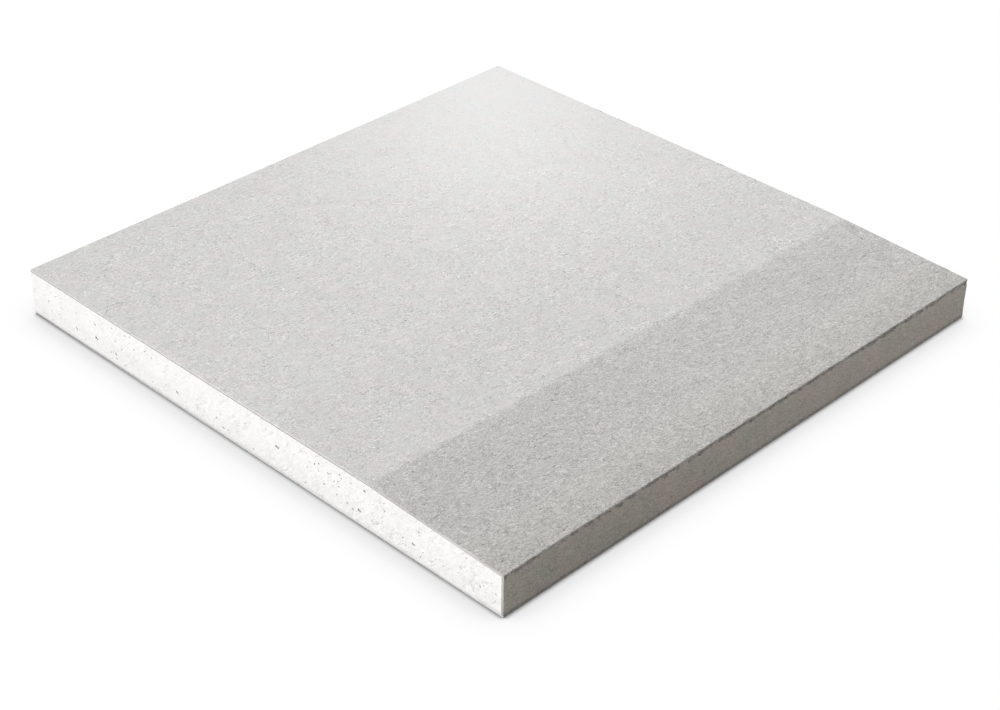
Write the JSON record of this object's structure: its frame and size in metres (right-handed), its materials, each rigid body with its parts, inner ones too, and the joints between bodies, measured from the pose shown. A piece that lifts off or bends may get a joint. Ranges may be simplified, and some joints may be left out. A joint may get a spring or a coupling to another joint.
{
  "type": "drywall sheet piece",
  "caption": "Square piece of tapered-edge gypsum drywall lying face up: white core between face and back papers, a bound tapered long edge and plain cut sides.",
  "frame": {"origin": "centre of the footprint, on the back paper's outer face", "axes": "+X across the sheet to the bound, tapered long edge; +Y along the sheet's length; +Z out of the face side"},
  "size_m": [0.16, 0.16, 0.0125],
  "materials": {
    "gypsum": "matte",
    "face_paper": "matte",
    "back_paper": "matte"
  },
  "bodies": {
    "root": {"gypsum_core": "gypsum", "face_paper": "face_paper", "back_paper": "back_paper"}
  },
  "joints": []
}
